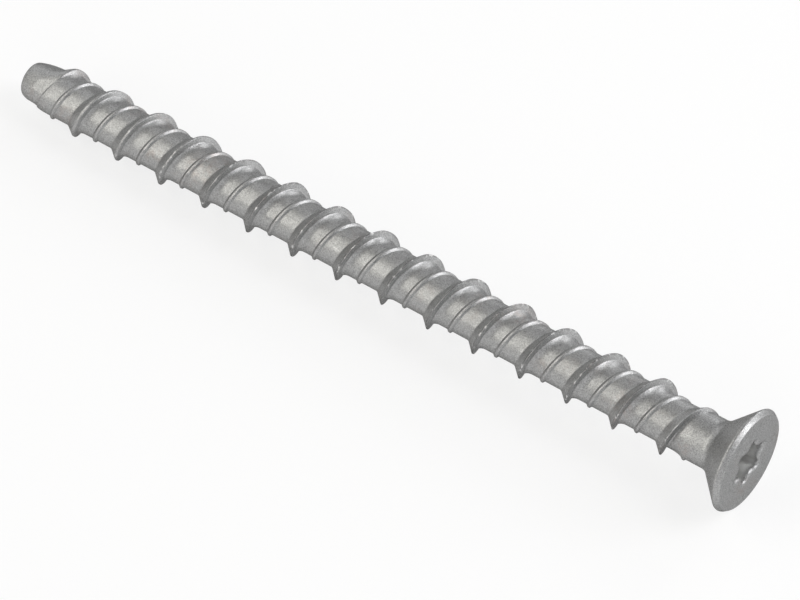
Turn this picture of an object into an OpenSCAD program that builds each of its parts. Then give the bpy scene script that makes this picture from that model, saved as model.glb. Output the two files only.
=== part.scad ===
// Concrete screw in one piece: a countersunk head with a six-lobed drive recess, a plain neck,
// and a long shank with a tall main thread and a low thread that runs between its turns.
// The screw is drawn upright on its own axis, tip down, and then laid on its side as it
// comes to rest, on the head's rim and on the first turn of the main thread.

/* [Overall] */
// Length from the head's flat face to the end of the tip
length = 160.4; // [100:0.1:240]

/* [Head] */
// Diameter of the head at its rim
head_d = 20; // [18:0.1:24]
// Full angle of the cone under the head
cone_angle = 90; // [80:1:100]
// Radius of the rounded rim
rim_round = 0.8; // [0.4:0.1:1.4]
// Radius of the sweep from the cone into the neck
neck_sweep = 2.3; // [0.5:0.1:4]

/* [Drive recess] */
// Diameter over the six lobes
lobe_d = 8.9; // [8:0.05:9.6]
// Diameter inside the six flutes
flute_d = 6.4; // [6:0.05:6.8]
// Radius of the end of each lobe
lobe_round = 0.8; // [0.6:0.05:1]
// Depth of the straight walls
drive_depth = 4.8; // [3:0.1:6]
// Depth of the shallow cone below the walls
drive_cone = 0.8; // [0.3:0.1:1.2]
// Angle of the first lobe from the screw's underside
drive_turn = 40; // [0:1:60]

/* [Shank] */
// Diameter of the core between the threads
core_d = 8.8; // [8:0.1:9.6]
// Diameter of the plain neck below the head
neck_d = 9.6; // [9.2:0.1:10.6]
// Length of the plain neck below the cone
neck_len = 5.2; // [3:0.1:12]
// Length of the slope from the neck to the core
neck_slope = 1; // [0.5:0.1:3]
// Length of the rounded taper at the tip
tip_len = 6.2; // [5:0.1:12]
// Diameter of the tip's end, before its edge is rounded
tip_d = 6.6; // [5:0.1:7.5]
// Radius of the edge between the flat end and the taper
tip_round = 1; // [0.2:0.1:1.2]

/* [Main thread] */
// Way that both threads wind
thread_hand = "left"; // [left, right]
// Distance from one turn to the next
pitch = 10.1; // [8:0.1:14]
// Diameter over the crest
thread_d = 12.3; // [11:0.1:14]
// Width of the crest
crest_w = 0.2; // [0.2:0.05:0.6]
// Run of the steep flank that faces the head
head_flank = 0.4; // [0.3:0.05:1.5]
// Run of the long flank that faces the tip
tip_flank = 1.85; // [1:0.05:2.6]
// Distance from the tip's end to the start of the thread
thread_start = 3.8; // [2.8:0.1:10]
// Angle of the thread's start from the screw's underside
start_angle = 300; // [0:10:350]
// Distance from the head's face to where the thread dies out
thread_end = 8; // [7:0.1:30]
// Height of the crest on the first turn
first_h = 1.3; // [0.8:0.1:1.6]
// Width of the crest on the first turn
first_crest_w = 0.6; // [0.2:0.05:0.8]
// Turns over which the crest grows to its full height and sharpness
growth = 5; // [1:0.5:8]
// Turns over which the thread rises out of the tip
lead_in = 0.5; // [0.2:0.1:1]
// Turns over which the thread sinks back below the head
run_out = 0.7; // [0.3:0.1:1]

/* [Low thread] */
// Height of the crest above the core
low_h = 0.4; // [0.2:0.05:0.8]
// Width at the core
low_w = 1.2; // [0.9:0.1:2]
// Width of the crest
low_crest_w = 0.4; // [0.2:0.05:0.6]
// Distance from the main crest to the low crest, towards the head
low_offset = 4.2; // [3.5:0.05:5.5]
// Turns by which it starts ahead of the main thread
low_ahead = 0.3; // [0:0.1:0.5]
// Turns by which it stops short of the main thread
low_short = 0.6; // [0.3:0.1:2]
// Turns over which it rises and sinks
low_fade = 0.2; // [0.1:0.1:0.5]

/* [Hidden] */
turn_steps = 36;
arc_steps = 8;
round_fn = 96;
// How deep the threads are rooted in the shank, and how far their ends sink below its surface
root_depth = 0.3;
end_sink = 0.1;
// Ledge between the recess's walls and its cone, and how far a cut runs past what it cuts
floor_ledge = 0.2;
over = 1;

head_r = head_d / 2;
core_r = core_d / 2;
neck_r = neck_d / 2;
tip_r = tip_d / 2;
main_h = thread_d / 2 - core_r;
cone_half = cone_angle / 2;
z_rim = length - rim_round;

// The tip's taper is an arc that leaves the core without a kink
tip_arc = (pow(tip_len, 2) + pow(core_r - tip_r, 2)) / (2 * (core_r - tip_r));
tip_centre = [core_r - tip_arc, tip_len];

// The rounded edge lies inside that arc and touches both it and the flat end
edge_rise = tip_len - tip_round;
edge_centre = [tip_centre[0] + sqrt(pow(tip_arc - tip_round, 2) - pow(edge_rise, 2)), tip_round];
edge_angle = -asin(edge_rise / (tip_arc - tip_round));

// The cone leaves the rounded rim on a tangent and would meet the neck at z_corner
rim_centre = [head_r - rim_round, z_rim];
cone_top = rim_centre + polar(rim_round, -cone_half);
z_corner = cone_top[1] - (cone_top[0] - neck_r) / tan(cone_half);
sweep_centre = [neck_r + neck_sweep, z_corner - neck_sweep * tan(cone_half / 2)];
z_neck = z_corner - neck_len;
z_core = z_neck - neck_slope;

// Flutes between the lobes are arcs that touch the lobes' own arcs
lobe_at = lobe_d / 2 - lobe_round;
flute_r = flute_d / 2;
flute_round = (pow(lobe_at, 2) + pow(flute_r, 2) - sqrt(3) * lobe_at * flute_r - pow(lobe_round, 2))
    / (sqrt(3) * lobe_at + 2 * lobe_round - 2 * flute_r);
flute_at = flute_r + flute_round;
floor_r = flute_r - floor_ledge;
lobe_half = 180 - acos((pow(lobe_at, 2) + pow(lobe_round + flute_round, 2) - pow(flute_at, 2))
    / (2 * lobe_at * (lobe_round + flute_round)));

// Turns of the main thread from its start to where it dies out
turns = (length - thread_end - thread_start) / pitch;

function polar(r, angle) = r * [cos(angle), sin(angle)];
function arc(centre, radius, from, to, first = 0) =
    [for (i = [first:arc_steps]) centre + polar(radius, from + (to - from) * i / arc_steps)];
function inner(points) = [for (i = [1:len(points) - 2]) points[i]];
function ease(x) = let (c = min(1, max(0, x))) c * c * (3 - 2 * c);

// Radius of the shank without its threads
function shank_r(z) =
    z < tip_len ? tip_centre[0] + sqrt(pow(tip_arc, 2) - pow(tip_len - z, 2)) :
    z < z_core ? core_r :
    z < z_neck ? core_r + (neck_r - core_r) * (z - z_core) / neck_slope : neck_r;

// Width and height of each crest, and its place along the axis, after a number of turns
function grown(t, first, last) = first + (last - first) * min(1, t / growth);
function main_crest(t) = grown(t, first_crest_w, crest_w);
function main_height(t) =
    (grown(t, first_h, main_h) + end_sink) * ease(t / lead_in) * ease((turns - t) / run_out) - end_sink;
function main_z(t) = thread_start + pitch * t;
// Where the crest is wider, it is so on its tip side
function main_middle(t) = main_z(t) - (main_crest(t) - crest_w) / 2;
function low_z(t) = main_z(t) + low_offset;
function low_height(t) =
    (low_h + end_sink) * ease((t + low_ahead) / low_fade) * ease((turns - low_short - t) / low_fade) - end_sink;

// Four corners of a thread's section: a crest of height h at z, with a root on each side of it
function section(t, z, h, crest, to_head, to_tip) =
    let (angle = start_angle - 360 * t)
    [for (p = [[to_head, -root_depth], [-to_tip, -root_depth], [-crest / 2, h], [crest / 2, h]])
        [each polar(shank_r(z + p[0]) + p[1], angle), z + p[0]]];
function turn_list(from, to) = [for (i = [round(from * turn_steps):floor(to * turn_steps)]) i / turn_steps];

// The flanks run on below the surface at the slope that they have above it
root_share = (main_h + root_depth) / main_h;
low_flank = (low_w - low_crest_w) / 2 * (low_h + root_depth) / low_h;
main_rings = [for (t = turn_list(0, turns)) section(t, main_middle(t), main_height(t), main_crest(t),
    main_crest(t) / 2 + head_flank * root_share, main_crest(t) / 2 + tip_flank * root_share)];
low_rings = [for (t = turn_list(-low_ahead, turns - low_short)) section(t, low_z(t), low_height(t),
    low_crest_w, low_crest_w / 2 + low_flank, low_crest_w / 2 + low_flank)];

// At rest the axis slopes down from the rim to the first crest that meets the ground
under_turns = [for (t = [start_angle / 360:turns]) t];
rest_tilt = atan(min([for (t = under_turns)
    let (z = main_middle(t) - main_crest(t) / 2)
    (head_r - shank_r(z) - main_height(t)) / (z_rim - z)]));
lift = head_r * cos(rest_tilt) - z_rim * sin(rest_tilt);
x_head = z_rim * cos(rest_tilt) + rim_centre[0] * sin(rest_tilt) + rim_round;
x_tip = tip_round * cos(rest_tilt) - edge_centre[0] * sin(rest_tilt) - tip_round;

// Closed skin over a row of rings that each have the same number of points
module skin(rings) {
    sides = len(rings[0]);
    last = (len(rings) - 1) * sides;
    walls = [for (i = [0:sides:last - sides], j = [0:sides - 1])
        let (a = i + j, b = i + (j + 1) % sides)
        each [[a, a + sides, b], [b, a + sides, b + sides]]];
    start_cap = [for (j = [0:sides - 1]) j];
    end_cap = [for (j = [sides - 1:-1:0]) last + j];
    polyhedron(points = [for (ring = rings) each ring], faces = concat([start_cap, end_cap], walls));
}

// Tip, core, neck and head as one turned profile
module blank() {
    rotate_extrude($fn = round_fn)
        polygon(concat(
            [[0, 0]],
            arc(edge_centre, tip_round, -90, edge_angle),
            arc(tip_centre, tip_arc, edge_angle, 0, 1),
            [[core_r, z_core], [neck_r, z_neck]],
            arc(sweep_centre, neck_sweep, 180, 180 - cone_half),
            arc(rim_centre, rim_round, -cone_half, 0),
            arc(rim_centre, rim_round, 0, 90, 1),
            [[0, length]]));
}

// Outline of the recess: an arc at each lobe, then the inner points of one at the flute beside it
module drive_outline() {
    polygon([for (lobe = [0:60:300]) each concat(
        arc(polar(lobe_at, lobe), lobe_round, lobe - lobe_half, lobe + lobe_half),
        inner(arc(polar(flute_at, lobe + 30), flute_round,
            lobe + 180 + lobe_half, lobe + 240 - lobe_half)))]);
}

module drive_recess() {
    translate([0, 0, length - drive_depth]) {
        rotate(drive_turn)
            linear_extrude(drive_depth + over) drive_outline();
        rotate_extrude($fn = round_fn)
            polygon([[0, -drive_cone], [floor_r, 0], [floor_r, over], [0, over]]);
    }
}

module upright_screw() {
    difference() {
        blank();
        drive_recess();
    }
    mirror([0, thread_hand == "right" ? 1 : 0, 0]) {
        skin(main_rings);
        skin(low_rings);
    }
}

module concrete_screw() {
    color([0.62, 0.62, 0.61])
        translate([-(x_head + x_tip) / 2, 0, lift])
            rotate([0, 90 - rest_tilt, 0])
                upright_screw();
}

concrete_screw();
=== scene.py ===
# %% [markdown]
# A concrete screw is a rod of hardened steel with a flat head. It cuts its own thread into a drilled hole,
# so it needs no plug. The real one is formed cold from wire, its threads are rolled between two dies, and it
# is then dipped in a grey paint that is full of zinc flakes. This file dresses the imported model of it:
# one new mesh with the rolled threads, the finish, a white floor, soft light and the camera.

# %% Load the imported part
import math

import bpy
import numpy as np
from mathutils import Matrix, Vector


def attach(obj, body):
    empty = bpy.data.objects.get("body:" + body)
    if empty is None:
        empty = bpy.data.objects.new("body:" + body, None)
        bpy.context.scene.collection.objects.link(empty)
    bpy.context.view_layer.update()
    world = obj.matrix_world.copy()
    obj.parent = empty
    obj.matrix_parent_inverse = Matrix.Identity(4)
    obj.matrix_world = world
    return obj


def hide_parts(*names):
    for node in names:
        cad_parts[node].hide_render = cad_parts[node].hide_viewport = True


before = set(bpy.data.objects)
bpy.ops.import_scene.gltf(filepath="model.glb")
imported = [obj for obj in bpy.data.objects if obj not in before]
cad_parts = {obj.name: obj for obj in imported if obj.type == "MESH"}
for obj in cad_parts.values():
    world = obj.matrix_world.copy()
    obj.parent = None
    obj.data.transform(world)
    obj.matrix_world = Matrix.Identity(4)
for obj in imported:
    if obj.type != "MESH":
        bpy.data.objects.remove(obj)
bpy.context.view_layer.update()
MM = 0.001

# %% [markdown]
# The camera comes first, because every later choice is judged through it. The screw lies on the floor with
# its head towards the viewer's right, and is seen from halfway up, from far away and through a long lens,
# which keeps the far end almost as thick as the near one. A turn about Z and a tilt are enough: the picture
# isn't rolled. The lens is found from its focal length in pixels, for a picture that is 800 pixels wide.

# %% Camera
AZIMUTH = math.radians(36.164)
ELEVATION = math.radians(50.016)
DISTANCE = 982.4 * MM
AIM_RIGHT = 3.835 * MM
AIM_UP = -1.434 * MM
FOCAL_PIXELS = 5423.4
IMAGE_WIDTH = 800
SENSOR_WIDTH = 36


def seen_from(azimuth, elevation):
    """Unit vector from the middle to a place round it, and the turn by which a thing there faces back."""
    towards = Vector((
        math.sin(azimuth) * math.cos(elevation),
        -math.cos(azimuth) * math.cos(elevation),
        math.sin(elevation)))
    return towards, (math.pi / 2 - elevation, 0, azimuth)


back, camera_turn = seen_from(AZIMUTH, ELEVATION)
right = Vector((math.cos(AZIMUTH), math.sin(AZIMUTH), 0))
up = back.cross(right)

camera_data = bpy.data.cameras.new("camera")
camera_data.sensor_width = SENSOR_WIDTH
camera_data.lens = FOCAL_PIXELS * SENSOR_WIDTH / IMAGE_WIDTH
camera = bpy.data.objects.new("camera", camera_data)
camera.location = right * AIM_RIGHT + up * AIM_UP + back * DISTANCE
camera.rotation_euler = camera_turn
bpy.context.scene.collection.objects.link(camera)
bpy.context.scene.camera = camera
print("lens", round(camera_data.lens, 1), "mm")

# %% [markdown]
# The CAD model gives the screw its sizes, and they are repeated here in millimetres because this file reads
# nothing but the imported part. The surface is worked out upright, on the screw's own axis: z runs from the
# end of the tip to the face of the head, and the angle runs round the axis from the underside.

# %% Sizes of the screw
LENGTH = 160.4
HEAD_R, CONE_HALF, RIM_ROUND, NECK_SWEEP = 10.0, math.radians(45), 0.8, 2.3
CORE_R, NECK_R, NECK_LEN, NECK_SLOPE = 4.4, 4.8, 5.2, 1.0
TIP_R, TIP_LEN, TIP_ROUND = 3.3, 6.2, 1.0
PITCH, MAIN_H, CREST_W, HEAD_FLANK, TIP_FLANK = 10.1, 1.75, 0.2, 0.25, 1.85
THREAD_START, START_ANGLE, THREAD_END = 3.8, math.radians(300), 8.0
FIRST_H, FIRST_CREST_W, GROWTH, LEAD_IN, RUN_OUT = 1.3, 0.6, 5.0, 0.5, 0.7
LOW_H, LOW_CREST_W, LOW_TIP_FLANK, LOW_HEAD_FLANK, LOW_OFFSET = 0.4, 0.4, 0.5, 0.3, 4.2
LOW_AHEAD, LOW_SHORT, LOW_FADE = 0.3, 0.6, 0.2

TURNS = (LENGTH - THREAD_END - THREAD_START) / PITCH
RIM_CENTRE = np.array([HEAD_R - RIM_ROUND, LENGTH - RIM_ROUND])
CONE_TOP = RIM_CENTRE + RIM_ROUND * np.array([math.cos(CONE_HALF), -math.sin(CONE_HALF)])
Z_CORNER = CONE_TOP[1] - (CONE_TOP[0] - NECK_R) / math.tan(CONE_HALF)
SWEEP_CENTRE = np.array([NECK_R + NECK_SWEEP, Z_CORNER - NECK_SWEEP * math.tan(CONE_HALF / 2)])
Z_NECK = Z_CORNER - NECK_LEN
print("thread turns", round(TURNS, 2), "neck from", round(Z_NECK, 2), "to", round(Z_CORNER, 2))

# %% [markdown]
# Under the threads the shank is a turned body: a tip that swells on an arc, a long straight core, and a neck
# that is a little thicker. Its radius is a function of z alone, so one line of numpy gives it for the whole
# grid at once. A soft step replaces the short cone at the neck, because paint fills such a corner. It has
# the cone's middle and twice its length.

# %% Radius of the bare shank
TIP_ARC = (TIP_LEN ** 2 + (CORE_R - TIP_R) ** 2) / (2 * (CORE_R - TIP_R))


def ease(x):
    """Soft step from 0 to 1: 3x squared minus 2x cubed, held level outside."""
    x = np.clip(x, 0, 1)
    return x * x * (3 - 2 * x)


def shank_radius(z):
    """Arc that reaches the core at the tip's length, then the core, then a soft step up to the neck."""
    tip = CORE_R - TIP_ARC + np.sqrt(TIP_ARC ** 2 - np.clip(TIP_LEN - z, 0, TIP_LEN) ** 2)
    cone_middle = Z_NECK - NECK_SLOPE / 2
    step = ease((z - cone_middle) / (2 * NECK_SLOPE) + 0.5)
    return tip + (NECK_R - CORE_R) * step


print("radius at the tip, core and neck", shank_radius(np.array([0, LENGTH / 2, Z_CORNER])).round(2))

# %% [markdown]
# Rolled metal has no sharp corners. So a section is given by its corners, and one helper puts an arc into
# each of them. A bevel on a finished mesh could do that too, but here the arcs are in the outline before it
# is carried along, so their points lie where the shape needs them.

# %% Rounded corners


def rounded(corners, radii, steps):
    """Open line through the corners, with an arc in each inner corner that touches its two sides."""
    line = [corners[:1]]
    for before, corner, after, radius, parts in zip(corners, corners[1:], corners[2:], radii, steps):
        to_before = (before - corner) / np.linalg.norm(before - corner)
        to_after = (after - corner) / np.linalg.norm(after - corner)
        half = math.acos(np.clip(to_before @ to_after, -1, 1)) / 2
        middle = (to_before + to_after) / np.linalg.norm(to_before + to_after)
        centre = corner + middle * radius / math.sin(half)
        across = to_after - to_before
        across = across / np.linalg.norm(across)
        swing = np.linspace(half - math.pi / 2, math.pi / 2 - half, parts + 1)[:, None]
        line.append(centre + radius * (across * np.sin(swing) - middle * np.cos(swing)))
    return np.concatenate(line + [corners[-1:]])


square_corner = np.array([[0, 0], [1, 0], [1, 1]])
print("a square corner with an arc of 0.5:", rounded(square_corner, [0.5], [2]).round(2).tolist())

# %% [markdown]
# Two threads wind to the left round the shank, side by side. The tall one has a steep flank towards the
# head, which takes the load, and a long flank towards the tip, which cuts. The low one runs between its
# turns and steadies the screw. Rolling squeezes the metal up out of the core, so the roots are filled, and
# the steep flank ends in a hollow sweep that throws light back from the core. That sweep is almost gone on
# the last turn, below the head. Sections are in millimetres: the offset along the axis from the main crest,
# and the height above the core.

# %% Sections of the two threads
ROOT_FILL, FOOT_FILL, CREST_ROUND, FIRST_ROUND = 0.7, 0.2, 0.07, 0.25
SWEEP_H, SWEEP_ANGLE, SWEEP_R, LAST_SWEEP = 0.55, math.radians(36), 2.4, 0.2
LOW_FILL, LOW_ROUND = 0.15, 0.1
PLAIN_STRIP = 1.4
MAIN_STEPS, LOW_STEPS = [4, 3, 3, 3, 6], [3, 2, 2, 3]


def main_line(crest, crest_round, sweep_share):
    """Root, long flank, crest, steep flank, sweep and root; a wider crest grows towards the tip."""
    tip_edge, head_edge = CREST_W / 2 - crest, CREST_W / 2
    foot, foot_h = head_edge + HEAD_FLANK, SWEEP_H * sweep_share
    knee = foot + foot_h / math.tan(SWEEP_ANGLE)
    corners = np.array([
        [tip_edge - TIP_FLANK - PLAIN_STRIP, 0], [tip_edge - TIP_FLANK, 0], [tip_edge, MAIN_H],
        [head_edge, MAIN_H], [foot, foot_h], [knee, 0], [knee + PLAIN_STRIP, 0]])
    radii = [ROOT_FILL, crest_round, crest_round, FOOT_FILL * sweep_share, SWEEP_R * sweep_share]
    return rounded(corners, radii, MAIN_STEPS)


main_section = main_line(CREST_W, CREST_ROUND, 1)
first_section = main_line(FIRST_CREST_W, FIRST_ROUND, 1)
last_section = main_line(CREST_W, CREST_ROUND, LAST_SWEEP)
low_tip, low_head = LOW_OFFSET - LOW_CREST_W / 2, LOW_OFFSET + LOW_CREST_W / 2
low_corners = np.array([
    [low_tip - 2 * LOW_TIP_FLANK, 0], [low_tip - LOW_TIP_FLANK, 0], [low_tip, LOW_H],
    [low_head, LOW_H], [low_head + LOW_HEAD_FLANK, 0], [low_head + 2 * LOW_HEAD_FLANK, 0]])
low_section = rounded(low_corners, [LOW_FILL, LOW_ROUND, LOW_ROUND, LOW_FILL], LOW_STEPS)
print("points in the sections", len(main_section), "and", len(low_section))

# %% [markdown]
# Along its way each crest changes height. Where the tall thread starts, the die has only pressed a shallow
# groove into the tip. Then the thread rises, grows over its first turns and sinks back below the head. The
# low one is level but fades at both ends. The dies also leave the tall crest a little uneven, which sine
# waves of unrelated lengths imitate.

# %% Heights along the threads
GROOVE_SHARE, GROOVE_FADE, GROOVE_END = -0.25, 0.08, 0.23
# Share of the height, waves per turn, and phase
CREST_WAVES = [(0.025, 1.71, 0.4), (0.02, 4.37, 2.1), (0.012, 9.13, 2.2)]


def main_height(turn):
    """Height that grows with the turns, times groove plus soft rise, times a soft fall at the head."""
    grown = FIRST_H + (MAIN_H - FIRST_H) * np.clip(turn / GROWTH, 0, 1)
    groove = GROOVE_SHARE * ease(turn / GROOVE_FADE + 1)
    rise = (1 - GROOVE_SHARE) * ease((turn - GROOVE_END) / (LEAD_IN - GROOVE_END))
    return grown * (groove + rise) * ease((TURNS - turn) / RUN_OUT)


def low_height(turn):
    """One height, times a soft rise and a soft fall."""
    return LOW_H * ease((turn + LOW_AHEAD) / LOW_FADE) * ease((TURNS - LOW_SHORT - turn) / LOW_FADE)


def unevenness(turn):
    """Sum of sine waves, as a share of the height."""
    return sum(size * np.sin(2 * math.pi * rate * turn + phase) for size, rate, phase in CREST_WAVES)


print("main crest on turns 1 to 5:", main_height(np.arange(1, 6)).round(2))

# %% [markdown]
# A grid of rings and columns would cut the slanting crests into steps. So the rows of this grid run along
# the threads: each row keeps its offset from the main crest while it climbs one pitch per turn, and its
# height is its share of the section times the crest's height there. The section itself is a blend: blunt on
# the first turns, then sharp, and almost without its sweep on the last.

# %% Rows that follow the threads
COLUMNS = 120
Z_LOW, Z_HIGH = 1.0, 152.5


def turn_rows(main_points):
    """Offset, share of the main height and share of the low height, for the rows of one turn."""
    both = np.concatenate([main_points, low_section])
    on_main = np.arange(len(both)) < len(main_points)
    return np.stack([both[:, 0], both[:, 1] / MAIN_H * on_main, both[:, 1] / LOW_H * ~on_main], axis=1)


sharp, blunt, last = turn_rows(main_section), turn_rows(first_section), turn_rows(last_section)
ROWS_PER_TURN = len(sharp)
first_turn = math.floor((Z_LOW - THREAD_START - sharp[:, 0].max()) / PITCH) - 1
last_turn = math.ceil((Z_HIGH - THREAD_START - blunt[:, 0].min()) / PITCH) + 1
whole_turns = np.arange(first_turn, last_turn + 1)
column_angle = 2 * math.pi * np.arange(COLUMNS) / COLUMNS
turn = np.repeat(whole_turns, ROWS_PER_TURN)[:, None] + (START_ANGLE - column_angle) / (2 * math.pi)
print("rows along the threads", len(turn), "in turns", first_turn, "to", last_turn)

# %% [markdown]
# With a turn number for every point of the grid, the blend and the heights are a few sums over whole arrays.
# Where a row leaves the threaded length it is held on the ring at that end, and the triangles that lose
# their area there are dropped later.

# %% Heights on those rows
# Turns before the thread's end where the sweep begins to go, and turns that it takes
LAST_FROM, LAST_FADE = 1.2, 0.5


def every_turn(rows):
    """The rows of one turn, repeated for all turns, with room for the columns."""
    return np.tile(rows, (len(whole_turns), 1))[:, None]


bluntness = 1 - np.clip(turn / GROWTH, 0, 1)
lastness = ease((turn - TURNS + LAST_FROM) / LAST_FADE)
blended = (every_turn(sharp) + bluntness[..., None] * every_turn(blunt - sharp)
           + lastness[..., None] * every_turn(last - sharp))
offset, main_share, low_share = np.moveaxis(blended, -1, 0)
helix_z = THREAD_START + PITCH * turn + offset
helix_rise = main_height(turn) * main_share * (1 + unevenness(turn)) + low_height(turn) * low_share
helix_r = shank_radius(np.clip(helix_z, Z_LOW, Z_HIGH)) + helix_rise
print("points on the threads", helix_z.shape, "widest radius", helix_r.max().round(2))

# %% [markdown]
# The two ends are plain rings. At the tip a small rounding joins the flat end to the swelling arc. At the
# other end the neck sweeps into the cone, and a narrow bevel with soft edges carries the cone over to the
# flat face and catches the light there. An arc is a list of points on a circle, so each end is a list of
# radius and z, carried round the axis.

# %% Rings of the tip, neck, cone and rim
RIM_REACH, BEVEL_R, BEVEL_ROUND, FACE_ROUND, CONE_SHARE = 0.35, 9.4, 0.5, 0.2, 0.9
TIP_STEPS, FLAT_STEPS, SWEEP_STEPS, CONE_STEPS, RIM_STEPS = 6, 4, 10, 9, [8, 4]


def arc(centre, radius, start, end, steps):
    """Points on a circle, at even angles from start to end."""
    angle = np.linspace(start, end, steps + 1)
    return centre + radius * np.stack([np.cos(angle), np.sin(angle)], axis=1)


edge_rise = TIP_LEN - TIP_ROUND
edge_r = CORE_R - TIP_ARC + math.sqrt((TIP_ARC - TIP_ROUND) ** 2 - edge_rise ** 2)
edge_angle = -math.asin(edge_rise / (TIP_ARC - TIP_ROUND))
tip_edge = arc(np.array([edge_r, TIP_ROUND]), TIP_ROUND, -math.pi / 2, edge_angle, TIP_STEPS)
tip_flat = np.linspace([0, 0], tip_edge[0], FLAT_STEPS + 1)[:-1]
tip_z = np.linspace(tip_edge[-1, 1], Z_LOW, FLAT_STEPS + 1)[1:]
tip_rings = np.concatenate([tip_flat, tip_edge, np.stack([shank_radius(tip_z), tip_z], axis=1)])

sweep = arc(SWEEP_CENTRE, NECK_SWEEP, math.pi, math.pi - CONE_HALF, SWEEP_STEPS)
cone = sweep[-1] + (CONE_TOP - sweep[-1]) * np.linspace(0, CONE_SHARE, CONE_STEPS + 1)[1:, None]
cone_end = CONE_TOP + RIM_REACH * np.array([math.tan(CONE_HALF), 1])
rim_corners = np.array([cone[-1], cone_end, [BEVEL_R, LENGTH], [RIM_CENTRE[0], LENGTH]])
rim = rounded(rim_corners, [BEVEL_ROUND, FACE_ROUND], RIM_STEPS)[1:]
head_rings = np.concatenate([[[NECK_R, Z_HIGH]], sweep, cone, rim])
print("rings at the tip", len(tip_rings), "and at the head", len(head_rings))

# %% [markdown]
# The drive recess has six round lobes with round flutes between them, all arcs that touch. A driver bit of
# the same outline fits in. The outline is walked by length, not by angle, so that the steep sides of the
# lobes get as many points as their ends. Points in the plane are complex numbers, which turn by a product.
# A lobe and a flute touch where the line between their centres crosses the outline, so the law of cosines
# gives the flute's radius and the angle at which one arc takes over from the other.

# %% Outline of the drive recess
LOBE_D, FLUTE_D, LOBE_ROUND, LOBES, DRIVE_TURN = 8.9, 6.4, 0.8, 6, math.radians(40)

lobe_at = LOBE_D / 2 - LOBE_ROUND
flute_r = FLUTE_D / 2
twice_cosine = 2 * math.cos(math.pi / LOBES)
flute_round = ((lobe_at ** 2 + flute_r ** 2 - twice_cosine * lobe_at * flute_r - LOBE_ROUND ** 2)
               / (twice_cosine * lobe_at + 2 * LOBE_ROUND - 2 * flute_r))
flute_at = flute_r + flute_round
touch = LOBE_ROUND + flute_round
lobe_half = math.pi - math.acos((lobe_at ** 2 + touch ** 2 - flute_at ** 2) / (2 * lobe_at * touch))
flute_half = lobe_half - math.pi / LOBES


def drive_outline(along):
    """Point and outward normal at a distance along the outline, in lobes from the middle of a lobe."""
    lobe_len, flute_len = LOBE_ROUND * lobe_half, flute_round * flute_half
    lobe = np.round(along)
    walked = np.abs(along - lobe) * 2 * (lobe_len + flute_len)
    on_lobe = walked < lobe_len
    lobe_angle = np.minimum(walked, lobe_len) / LOBE_ROUND
    flute_angle = lobe_half - np.maximum(walked - lobe_len, 0) / flute_round
    normal = np.exp(1j * np.where(on_lobe, lobe_angle, flute_angle))
    flute_centre = flute_at * np.exp(1j * math.pi / LOBES)
    point = np.where(on_lobe, lobe_at + LOBE_ROUND * normal, flute_centre - flute_round * normal)
    spin = np.exp(1j * (2 * math.pi * lobe / LOBES + DRIVE_TURN))
    before = along < lobe
    return np.where(before, point.conj(), point) * spin, np.where(before, normal.conj(), normal) * spin


outline, outward = drive_outline((column_angle - DRIVE_TURN) * LOBES / (2 * math.pi))
circle = np.exp(1j * column_angle)
print("recess radius from", np.abs(outline).min().round(2), "to", np.abs(outline).max().round(2))

# %% [markdown]
# The flat face runs from the rim to that outline. A small rounding leads from it into straight walls, and a
# shallow cone closes the floor. A hole cut with a boolean would leave long thin triangles on the face, so
# the face's rows change shape on the way instead, from the round rim to the outline of the lobes.

# %% Face, walls and floor of the recess
DRIVE_DEPTH, DRIVE_CONE, FLOOR_R, MOUTH_ROUND = 4.8, 0.8, 3.0, 0.55
FACE_STEPS, MOUTH_STEPS, WALL_STEPS, LEDGE_STEPS, FLOOR_STEPS = 8, 5, 6, 2, 4


def onward(start, end, steps):
    """Even values from just after the start up to the end, one for each row."""
    return np.linspace(start, end, steps + 1)[1:, None]


face_share = onward(0, 1, FACE_STEPS)
mouth_angle = onward(0, math.pi / 2, MOUTH_STEPS)
wall_z = onward(LENGTH - MOUTH_ROUND, LENGTH - DRIVE_DEPTH, WALL_STEPS)
ledge_share = onward(0, 1, LEDGE_STEPS)
floor_r = onward(FLOOR_R, 0, FLOOR_STEPS)

mouth = outline + MOUTH_ROUND * outward
recess_plan = np.concatenate([
    RIM_CENTRE[0] * circle * (1 - face_share) + mouth * face_share,
    outline + MOUTH_ROUND * outward * (1 - np.sin(mouth_angle)),
    outline * np.ones_like(wall_z),
    outline * (1 - ledge_share) + FLOOR_R * circle * ledge_share,
    floor_r * circle])
recess_z = np.concatenate([
    np.full_like(face_share, LENGTH),
    LENGTH - MOUTH_ROUND * (1 - np.cos(mouth_angle)),
    wall_z,
    np.full_like(ledge_share, LENGTH - DRIVE_DEPTH),
    LENGTH - DRIVE_DEPTH - DRIVE_CONE * (1 - floor_r / FLOOR_R)]) * np.ones(COLUMNS)
print("rows from the rim to the floor of the recess", len(recess_plan))

# %% [markdown]
# All rows now come together in one grid, from the middle of the tip to the middle of the recess. Two more
# values go with each point for the finish: how far it stands up on a thread, and whether it lies down in the
# recess, where the coating pools.

# %% Put all rows together


def turned(rings):
    """Rings of radius and z, carried round the axis: plan position as a complex number, and z."""
    return rings[:, :1] * circle, rings[:, 1:] * np.ones(COLUMNS)


tip_plan, tip_level = turned(tip_rings)
head_plan, head_level = turned(head_rings)
plan = np.concatenate([tip_plan, helix_r * circle, head_plan, recess_plan])
level = np.concatenate([tip_level, helix_z, head_level, recess_z])
thread_rows = slice(len(tip_plan), len(tip_plan) + len(helix_z))
rise = np.zeros(level.shape)
rise[thread_rows] = helix_rise
# Painted light goes on the walls, ledge and floor of the recess
recess_light_share = np.zeros(level.shape)
recess_light_share[-(WALL_STEPS + LEDGE_STEPS + FLOOR_STEPS):] = 1
print("rows", len(level), "of", COLUMNS, "points")

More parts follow.
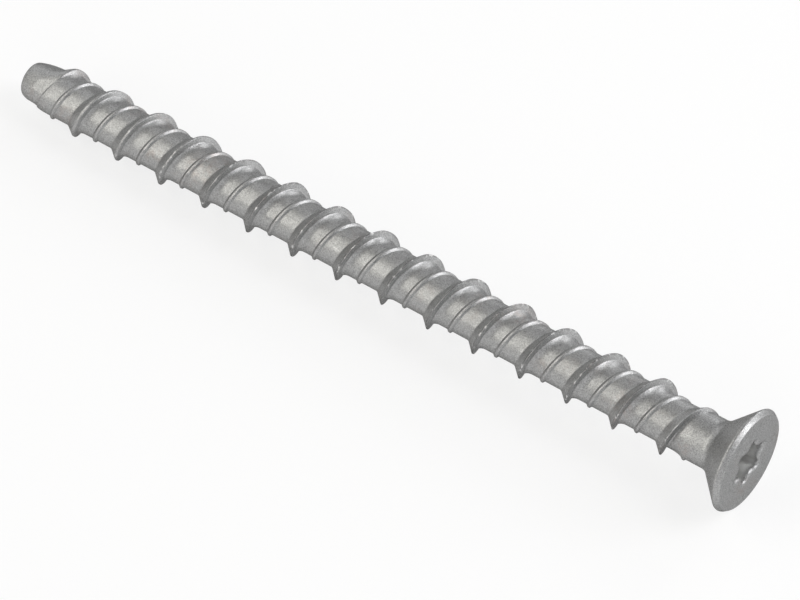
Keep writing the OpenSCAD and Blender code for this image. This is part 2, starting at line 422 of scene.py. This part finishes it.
# %% [markdown]
# The grid becomes one closed skin. Every row has the same columns, so two neighbouring rows make a band of
# quads, and each quad is cut into two triangles. The thread rows meet themselves one turn lower when they
# have gone round once. Points that were held on an end ring take that ring's number, and triangles with a
# number twice have no area and go.

# %% Join the rows into one skin
# A point this near to an end ring, in millimetres, counts as held on it
NEAR = 1e-6


def band(near, near_next, far, far_next):
    """Two triangles for each cell between neighbouring rows."""
    one = np.stack([near, near_next, far_next], axis=-1)
    two = np.stack([near, far_next, far], axis=-1)
    return np.concatenate([one.reshape(-1, 3), two.reshape(-1, 3)])


def ring_band(ids):
    """Triangles between rows that close on themselves."""
    beside = np.roll(ids, -1, axis=1)
    return band(ids[:-1], beside[:-1], ids[1:], beside[1:])


number = np.arange(plan.size).reshape(plan.shape)
tip_ids, helix_ids, head_ids = np.split(number, [thread_rows.start, thread_rows.stop])
tip_ids[0] = tip_ids[0, 0]
head_ids[-1] = head_ids[-1, 0]
held_low, held_high = helix_z <= Z_LOW + NEAR, helix_z >= Z_HIGH - NEAR
helix_ids = np.where(held_low, tip_ids[-1], np.where(held_high, head_ids[0], helix_ids))
below = np.full(ROWS_PER_TURN, tip_ids[-1, 0])
last_beside = np.concatenate([below, helix_ids[:-ROWS_PER_TURN, 0]])[:, None]
helix_beside = np.concatenate([helix_ids[:, 1:], last_beside], axis=1)

triangles = np.concatenate([
    ring_band(tip_ids),
    band(helix_ids[:-1], helix_beside[:-1], helix_ids[1:], helix_beside[1:]),
    ring_band(head_ids)])
repeated = (triangles == np.roll(triangles, 1, axis=1)).any(axis=1)
used, triangles = np.unique(triangles[~repeated], return_inverse=True)
triangles = triangles.reshape(-1, 3)
plan, level, rise, recess_light_share = [values.ravel()[used] for values in (plan, level, rise, recess_light_share)]
print("triangles", len(triangles), "vertices", len(used))

# %% [markdown]
# The screw is then laid down. On a floor it rests on its rim and on the first turn of the tall thread that
# comes round to the underside, so its axis slopes down a little towards the tip. The tilt follows from those
# two points, as in the CAD model.

# %% Lay the screw on the floor
under = np.arange(START_ANGLE / (2 * math.pi), TURNS)
under_crest = FIRST_CREST_W + (CREST_W - FIRST_CREST_W) * np.clip(under / GROWTH, 0, 1)
under_z = THREAD_START + PITCH * under + CREST_W / 2 - under_crest
drop = (HEAD_R - shank_radius(under_z) - main_height(under)) / (RIM_CENTRE[1] - under_z)
tilt = math.atan(drop.min())
lift = HEAD_R * math.cos(tilt) - RIM_CENTRE[1] * math.sin(tilt)
x_head = RIM_CENTRE[1] * math.cos(tilt) + RIM_CENTRE[0] * math.sin(tilt) + RIM_ROUND
x_tip = TIP_ROUND * math.cos(tilt) - edge_r * math.sin(tilt) - TIP_ROUND
points = MM * np.stack([
    level * math.cos(tilt) + plan.real * math.sin(tilt) - (x_head + x_tip) / 2,
    plan.imag,
    level * math.sin(tilt) - plan.real * math.cos(tilt) + lift], axis=1)
print("tilt", round(math.degrees(tilt), 2), "degrees; lowest point", points[:, 2].min())

# %% [markdown]
# A few brown stains have a place of their own on the real screw. Each is a soft round spot on the unrolled
# surface, so a distance along the axis and one round it are all that it needs.

# %% Places of the stains
# Place along the axis, angle in degrees, spread, and strength
STAINS = [(149.7, 258, 0.8, 1.0), (118.9, 243, 1.1, 0.5), (110.5, 160, 1.2, 0.6), (124.0, 210, 1.0, 0.4)]

stain = np.zeros(len(level))
for stain_z, stain_angle, spread, strength in STAINS:
    aside = np.abs(plan) * np.angle(plan * np.exp(-1j * math.radians(stain_angle)))
    spot = strength * np.exp(-((level - stain_z) ** 2 + aside ** 2) / (2 * spread ** 2))
    stain = np.maximum(stain, spot)
print("stained points", (stain > 0.1).sum())

# %% [markdown]
# The skin is one object at the origin, with its place in its mesh. It stands for the CAD solid and takes
# over its finish. Smooth shading hides the triangles, and edges that turn by more than a set angle stay
# crisp. The values for the finish are stored at the points, where a material can read them.

# %% Make the piece
SHARP_ANGLE = math.radians(50)

mesh = bpy.data.meshes.new("concrete_screw_skin")
mesh.from_pydata(points, [], triangles)
# The last value is the share of painted light in the recess
for name, values in {"thread_rise": rise / MAIN_H, "stain": stain, "recess_painted_light": recess_light_share}.items():
    mesh.attributes.new(name, "FLOAT", "POINT").data.foreach_set("value", values)
mesh.shade_smooth()
mesh.set_sharp_from_angle(angle=SHARP_ANGLE)
screw = bpy.data.objects.new("screw_skin", mesh)
bpy.context.scene.collection.objects.link(screw)
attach(screw, "root")
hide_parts("concrete_screw")
print("piece", screw.name, "with", len(mesh.polygons), "triangles")

# %% [markdown]
# The coating is a grey paint packed with zinc flakes, baked on. It is duller than bare metal and brighter
# than paint: each flake is a tiny mirror, so light spreads widely and a fine grain shows. Seen along the
# surface it goes dark, which a metal with a dark edge tint imitates better than a paint does.

# %% Zinc flake finish
FLAKE_DARK, FLAKE_LIGHT = (0.25, 0.25, 0.25, 1), (0.55, 0.55, 0.548, 1)
EDGE_TINT, EDGE_GLOSS = (0.05, 0.05, 0.05, 1), 0.2
ROUGH_LOW, ROUGH_HIGH = 0.39, 0.47

zinc = bpy.data.materials.new("zinc_flake_coating")
zinc.use_nodes = True
nodes, links = zinc.node_tree.nodes, zinc.node_tree.links
shader = nodes["Principled BSDF"]
coordinates = nodes.new("ShaderNodeTexCoord")


def noise(scale, detail, roughness=0.5):
    """Value noise on the piece's own coordinates, with that many waves per metre."""
    node = nodes.new("ShaderNodeTexNoise")
    node.inputs["Scale"].default_value = scale
    node.inputs["Detail"].default_value = detail
    node.inputs["Roughness"].default_value = roughness
    links.new(coordinates.outputs["Object"], node.inputs["Vector"])
    return node.outputs["Fac"]


def remap(value, low, high, to_low, to_high):
    """Straight line from one range to another, held at its ends, in the node tree of the value."""
    tree = value.id_data
    node = tree.nodes.new("ShaderNodeMapRange")
    settings = {"From Min": low, "From Max": high, "To Min": to_low, "To Max": to_high}
    for socket, setting in settings.items():
        node.inputs[socket].default_value = setting
    tree.links.new(value, node.inputs["Value"])
    return node.outputs["Result"]


grain = noise(4200, 3, 0.65)
ramp = nodes.new("ShaderNodeValToRGB")
dark, light = ramp.color_ramp.elements
dark.position, light.position = 0.32, 0.68
dark.color, light.color = FLAKE_DARK, FLAKE_LIGHT
links.new(grain, ramp.inputs["Fac"])
shader.inputs["Specular Tint"].default_value = EDGE_TINT
shader.inputs["Specular IOR Level"].default_value = EDGE_GLOSS
links.new(remap(noise(900, 2), 0.3, 0.7, ROUGH_LOW, ROUGH_HIGH), shader.inputs["Roughness"])
print("finish nodes", len(nodes))

# %% [markdown]
# Three marks lie over the coating. The crests are darker, a painted shade that damps their highlights,
# with bare bright specks where other screws in the box have rubbed the coating off, and the height along the
# threads says where the crests are. Faint brown stains sit where damp has stood: a few have a place of their
# own, and the rest are left to noise. In the recess the coating is lighter and more like paint than metal,
# painted light that brightens its shaded walls.

# %% Painted shade on the crests, rubbed specks, brown stains and painted light in the recess
# A painted shade for the crests, and bare steel for the rubbed specks
CREST_PAINTED_SHADE, BARE_STEEL = (0.16, 0.16, 0.16, 1), (0.78, 0.78, 0.77, 1)
# The grey is painted light that brightens the shaded recess, which also gets less metal
STAIN_BROWN, RECESS_PAINTED_LIGHT = (0.36, 0.29, 0.26, 1), (0.5, 0.5, 0.49, 1)
FLAKE_METAL, RECESS_METAL = 0.8, 0.2


def stored(name):
    """Value that the mesh carries at each point under that name."""
    node = nodes.new("ShaderNodeAttribute")
    node.attribute_name = name
    return node.outputs["Fac"]


def calculated(operation, one, two):
    """Two values put together by a plain sum, product or the like, in their own node tree."""
    tree = one.id_data
    node = tree.nodes.new("ShaderNodeMath")
    node.operation = operation
    tree.links.new(one, node.inputs[0])
    tree.links.new(two, node.inputs[1])
    return node.outputs["Value"]


def tinted(amount, under, colour):
    """The colour below, with another laid over it by that amount."""
    node = nodes.new("ShaderNodeMix")
    node.data_type = "RGBA"
    links.new(amount, node.inputs["Factor"])
    links.new(under, node.inputs["A"])
    node.inputs["B"].default_value = colour
    return node.outputs["Result"]


crest, lit_recess = stored("thread_rise"), stored("recess_painted_light")
rubbed = calculated("MULTIPLY", remap(crest, 0.7, 0.95, 0, 1), remap(noise(1100, 2), 0.57, 0.66, 0, 0.8))
damp = calculated("MAXIMUM", stored("stain"), remap(noise(150, 2), 0.54, 0.7, 0, 0.5))
stained = calculated("MULTIPLY", damp, remap(noise(1200, 3), 0.4, 0.65, 0, 0.7))
# Painted shade: the crests are darkened towards their tops, which damps their highlights
colour = tinted(remap(crest, 0.8, 1, 0, 0.6), ramp.outputs["Color"], CREST_PAINTED_SHADE)
colour = tinted(rubbed, colour, BARE_STEEL)
colour = tinted(stained, colour, STAIN_BROWN)
# Painted light: the recess gets a lighter colour and less metal, which brightens its shaded walls
colour = tinted(lit_recess, colour, RECESS_PAINTED_LIGHT)
links.new(remap(lit_recess, 0, 1, FLAKE_METAL, RECESS_METAL), shader.inputs["Metallic"])
links.new(colour, shader.inputs["Base Color"])
print("finish nodes", len(nodes))

# %% [markdown]
# The coating isn't level. Forging leaves shallow dimples, and the flakes stand at all angles, which shows as
# a fine glitter in the highlights. Both are too fine for the mesh's triangles, so they are left to bump, and
# the flakes stand out more on the crests.

# %% Fine relief
DIMPLE_DEPTH, FLAKE_DEPTH = 0.03 * MM, 0.07 * MM

dimples = nodes.new("ShaderNodeBump")
dimples.inputs["Strength"].default_value = 1.0
dimples.inputs["Distance"].default_value = DIMPLE_DEPTH
links.new(noise(750, 2), dimples.inputs["Height"])
flakes = nodes.new("ShaderNodeBump")
flakes.inputs["Distance"].default_value = FLAKE_DEPTH
links.new(remap(crest, 0.4, 1.0, 0.5, 0.7), flakes.inputs["Strength"])
links.new(grain, flakes.inputs["Height"])
links.new(dimples.outputs["Normal"], flakes.inputs["Normal"])
links.new(flakes.outputs["Normal"], shader.inputs["Normal"])
screw.data.materials.append(zinc)
print("finish nodes", len(nodes))

# %% [markdown]
# The screw lies on a plain white floor. The floor is a wide flat sheet far larger than the picture, so its
# edge never shows. Part of its white is its own paint, which keeps the screw's soft shadow. The rest is
# light that only the camera and shiny surfaces see, so that the floor is white without more light on the
# screw.

# %% Floor
FLOOR_SIDE = 4.0
FLOOR_PAINT, FLOOR_ROUGH, FLOOR_GLOW = (0.93, 0.93, 0.93, 1), 0.9, 0.75

corners = FLOOR_SIDE / 2 * np.array([[-1, -1, 0], [1, -1, 0], [1, 1, 0], [-1, 1, 0]])
floor_mesh = bpy.data.meshes.new("floor")
floor_mesh.from_pydata(corners, [], [(0, 1, 2, 3)])
floor = bpy.data.objects.new("floor", floor_mesh)
bpy.context.scene.collection.objects.link(floor)

white = bpy.data.materials.new("white_floor")
white.use_nodes = True
white_nodes, white_links = white.node_tree.nodes, white.node_tree.links
paint = white_nodes["Principled BSDF"]
paint.inputs["Base Color"].default_value = FLOOR_PAINT
paint.inputs["Roughness"].default_value = FLOOR_ROUGH
glow = white_nodes.new("ShaderNodeEmission")
glow.inputs["Strength"].default_value = 1.0
rays = white_nodes.new("ShaderNodeLightPath").outputs
seen = calculated("MAXIMUM", rays["Is Camera Ray"], rays["Is Glossy Ray"])
seen = calculated("MAXIMUM", seen, rays["Is Transmission Ray"])
mixed = white_nodes.new("ShaderNodeMixShader")
white_links.new(remap(seen, 0, 1, 0, FLOOR_GLOW), mixed.inputs["Fac"])
white_links.new(paint.outputs["BSDF"], mixed.inputs[1])
white_links.new(glow.outputs["Emission"], mixed.inputs[2])
white_links.new(mixed.outputs["Shader"], white_nodes["Material Output"].inputs["Surface"])
floor.data.materials.append(white)
print("floor", FLOOR_SIDE, "m wide")

# %% [markdown]
# A shiny round thing shows the whole room, so the light is a ring of soft boxes with a strength each, from
# low and from halfway up. The bright ones stand on the viewer's left, where the core mirrors them as one
# long band, and behind the head, where they light the steep flanks, the rim and the low thread. The dim
# ones only keep the rest of the metal from going black. Those on the left are a little warm and the others
# a little cool, so the band is warmer than the flanks. Together they light the floor at a plain level.

# %% Light
SOFTBOX_SIDE, SOFTBOX_DISTANCE, SKY_STRENGTH = 0.5, 1.0, 0.03
WARM, COOL = (1, 0.985, 0.93), (0.985, 0.99, 1)
WARM_FROM, WARM_TO = -90, 0
# Azimuth and elevation in degrees, and watts
SOFTBOXES = [
    (-150, 50, 0.2), (-120, 22, 1.0), (-120, 50, 0.6), (-90, 22, 0.5), (-60, 22, 0.3),
    (-60, 50, 1.7), (-30, 22, 2.5), (-30, 50, 0.8), (30, 22, 1.4), (30, 50, 0.4),
    (90, 22, 1.3), (120, 22, 3.7), (120, 50, 3.2), (150, 22, 0.9), (180, 22, 2.7)]

world = bpy.data.worlds.new("studio")
world.use_nodes = True
sky = world.node_tree.nodes["Background"].inputs
sky["Color"].default_value = (1, 1, 1, 1)
sky["Strength"].default_value = SKY_STRENGTH
bpy.context.scene.world = world


def softbox(azimuth, elevation, power, colour):
    """Square lamp that faces the screw from that azimuth and elevation."""
    data = bpy.data.lights.new("softbox", "AREA")
    data.shape = "SQUARE"
    data.size = SOFTBOX_SIDE
    data.energy = power
    data.color = colour
    lamp = bpy.data.objects.new("softbox", data)
    towards, lamp.rotation_euler = seen_from(math.radians(azimuth), math.radians(elevation))
    lamp.location = SOFTBOX_DISTANCE * towards
    bpy.context.scene.collection.objects.link(lamp)


for azimuth, elevation, power in SOFTBOXES:
    softbox(azimuth, elevation, power, WARM if WARM_FROM < azimuth < WARM_TO else COOL)
bpy.context.scene.view_settings.view_transform = "Standard"
print("soft boxes", len(SOFTBOXES), "with", round(sum(power for _, _, power in SOFTBOXES), 1), "W together")
